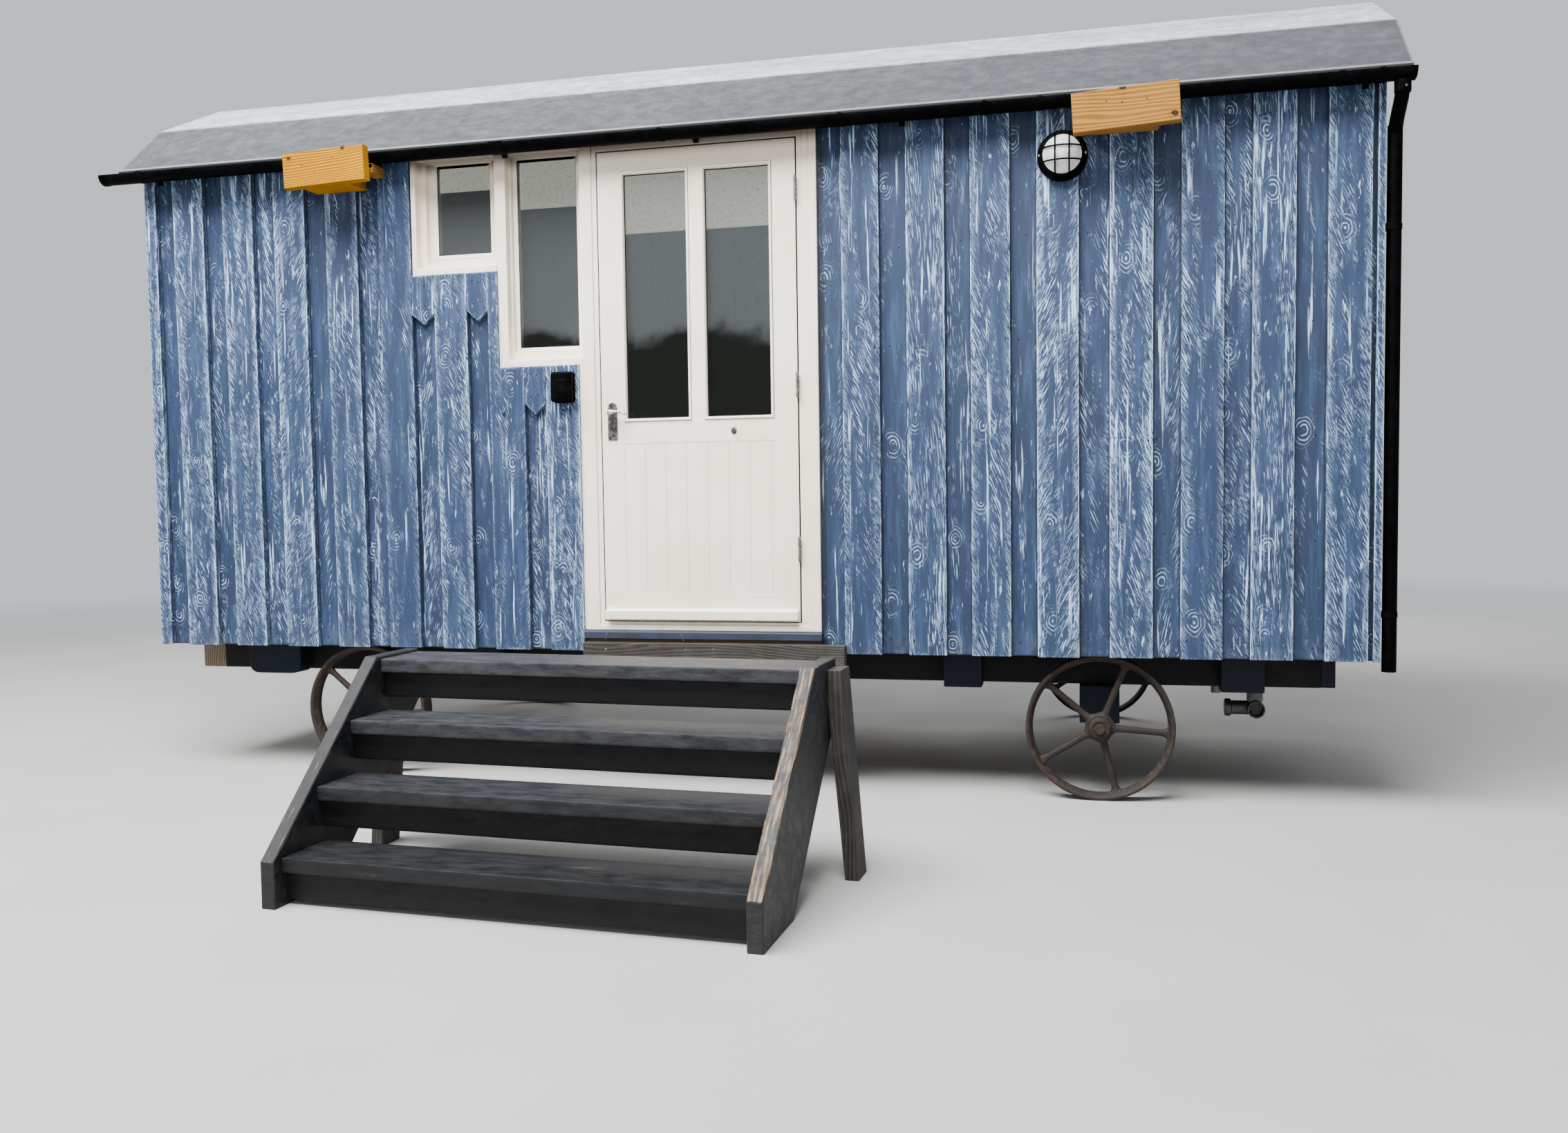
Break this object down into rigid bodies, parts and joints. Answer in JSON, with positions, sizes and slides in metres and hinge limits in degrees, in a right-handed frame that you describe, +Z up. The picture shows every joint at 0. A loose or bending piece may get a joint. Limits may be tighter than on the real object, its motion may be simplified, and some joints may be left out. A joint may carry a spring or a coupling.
{
  "type": "shepherds hut",
  "caption": "Timber shepherds hut with knuckled roof on spoked cast wheels, with glazed stable-style door, stepped windows, gutters and free-standing steps.",
  "frame": {"origin": "on the ground, at the middle of the rectangle that the hut and its steps cover", "axes": "+X along the front wall towards the end with the downpipe, +Y from the steps through the door into the hut, +Z up"},
  "size_m": [5.401, 4.0778, 3.2316],
  "materials": {
    "floor_boards": "varnished boards",
    "wall_lining": "plain matt lining",
    "blue_boards": "distressed blue paint, satin",
    "roof_shell": "light grey, matt, speckled",
    "cream_joinery": "off-white paint, satin",
    "window_glass": "clear",
    "blind_fabric": "pale matt cloth",
    "weathered_timber": "bare weathered timber",
    "zinc_hinges": "zinc plated",
    "pewter": "aged pewter, satin",
    "black_plastic": "black, satin",
    "fresh_timber": "planed softwood, unpainted",
    "chassis_paint": "near black blue paint, matt",
    "rusty_iron": "rusty, matt",
    "grey_plastic": "grey, matt",
    "step_paint": "worn dark grey paint"
  },
  "bodies": {
    "hut": {"floor": "floor_boards", "front_wall_left": "wall_lining", "front_wall_under_windows": "wall_lining", "front_wall_head": "wall_lining", "front_wall_right": "wall_lining", "rear_wall": "wall_lining", "end_walls": "wall_lining", "front_cladding": "blue_boards", "rear_cladding": "blue_boards", "end_cladding": "blue_boards", "roof": "roof_shell", "window_surround": "cream_joinery", "window_glass": "window_glass", "window_blinds": "blind_fabric", "door_frame": "cream_joinery", "door_sill": "blue_boards", "ledger_board": "weathered_timber", "frame_hinges": "zinc_hinges", "cabin_hook_eye": "pewter", "key_safe": "black_plastic", "bulkhead_light": "black_plastic", "gutters": "black_plastic", "downpipes": "black_plastic", "lifting_timbers": "fresh_timber", "chassis_beams": "chassis_paint", "cross_timbers": "chassis_paint", "axles": "chassis_paint", "wheel_caps": "rusty_iron", "waste_pipe": "grey_plastic", "step_stringers": "step_paint", "step_treads": "step_paint", "step_risers": "step_paint", "step_legs": "weathered_timber"},
    "door": {"door_leaf": "cream_joinery", "door_glass": "window_glass", "door_blinds": "blind_fabric", "door_hinges": "zinc_hinges", "handle_plate": "pewter", "door_eye": "pewter"},
    "lever": {"door_lever": "pewter"},
    "hook": {"cabin_hook": "pewter"},
    "left_front_wheel": {"wheel_left_front": "rusty_iron"},
    "left_rear_wheel": {"wheel_left_rear": "rusty_iron"},
    "right_front_wheel": {"wheel_right_front": "rusty_iron"},
    "right_rear_wheel": {"wheel_right_rear": "rusty_iron"}
  },
  "joints": [
    {"name": "door_swing", "type": "hinge", "parent": "hut", "child": "door", "pos_m": [0.448, -0.20009, 1.668], "axis": [0, 0, 1], "range_deg": [0, 145]},
    {"name": "lever_turn", "type": "hinge", "parent": "door", "child": "lever", "pos_m": [-0.3455, -0.18809, 1.563], "axis": [0, 1, 0], "range_deg": [0, 35], "stiffness_Nm_per_rad": 1.2, "springref_deg": -17.19},
    {"name": "hook_swing", "type": "hinge", "parent": "hut", "child": "hook", "pos_m": [0.766, -0.21709, 1.477], "axis": [-1, 0, 0], "range_deg": [0, 150]},
    {"name": "left_front_wheel_spin", "type": "hinge", "parent": "hut", "child": "left_front_wheel", "pos_m": [-1.5595, -0.10409, 0.285], "axis": [0, 1, 0], "continuous": true},
    {"name": "left_rear_wheel_spin", "type": "hinge", "parent": "hut", "child": "left_rear_wheel", "pos_m": [-1.5595, 1.82591, 0.285], "axis": [0, 1, 0], "continuous": true},
    {"name": "right_front_wheel_spin", "type": "hinge", "parent": "hut", "child": "right_front_wheel", "pos_m": [1.6245, -0.10409, 0.285], "axis": [0, 1, 0], "continuous": true},
    {"name": "right_rear_wheel_spin", "type": "hinge", "parent": "hut", "child": "right_rear_wheel", "pos_m": [1.6245, 1.82591, 0.285], "axis": [0, 1, 0], "continuous": true}
  ]
}
